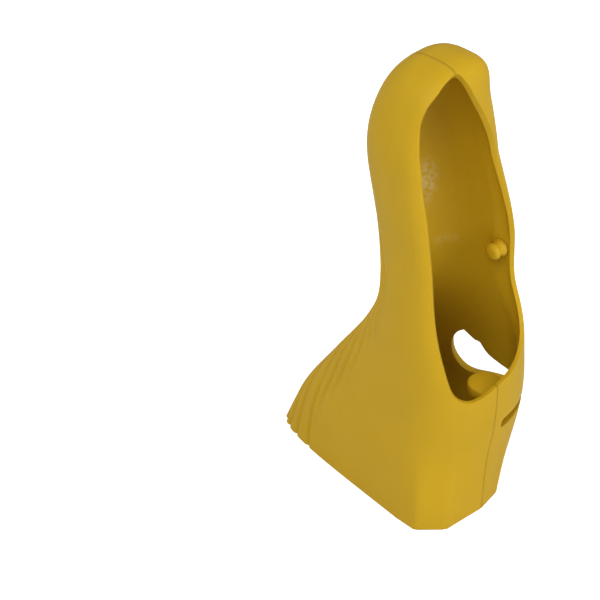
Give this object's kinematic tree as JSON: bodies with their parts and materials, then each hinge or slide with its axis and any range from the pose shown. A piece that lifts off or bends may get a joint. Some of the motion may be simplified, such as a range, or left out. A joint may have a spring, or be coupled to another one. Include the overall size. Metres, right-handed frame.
{
  "type": "brake lever hood",
  "caption": "One-piece rubber hood that stretches over a road brake lever body, with a ridged palm face, a long lever opening and a thumb lever hole.",
  "frame": {"origin": "middle of the hood's footprint, on the plane of the flat rear rim", "axes": "+Z from the rear rim up to the nose, -X towards the palm side and the rear tongue, +X towards the underside with the lever opening, +Y towards the inboard (thumb lever) side"},
  "size_m": [0.063, 0.0396, 0.1194],
  "materials": {
    "yellow_rubber": "matte"
  },
  "bodies": {
    "root": {"hood": "yellow_rubber"}
  },
  "joints": []
}
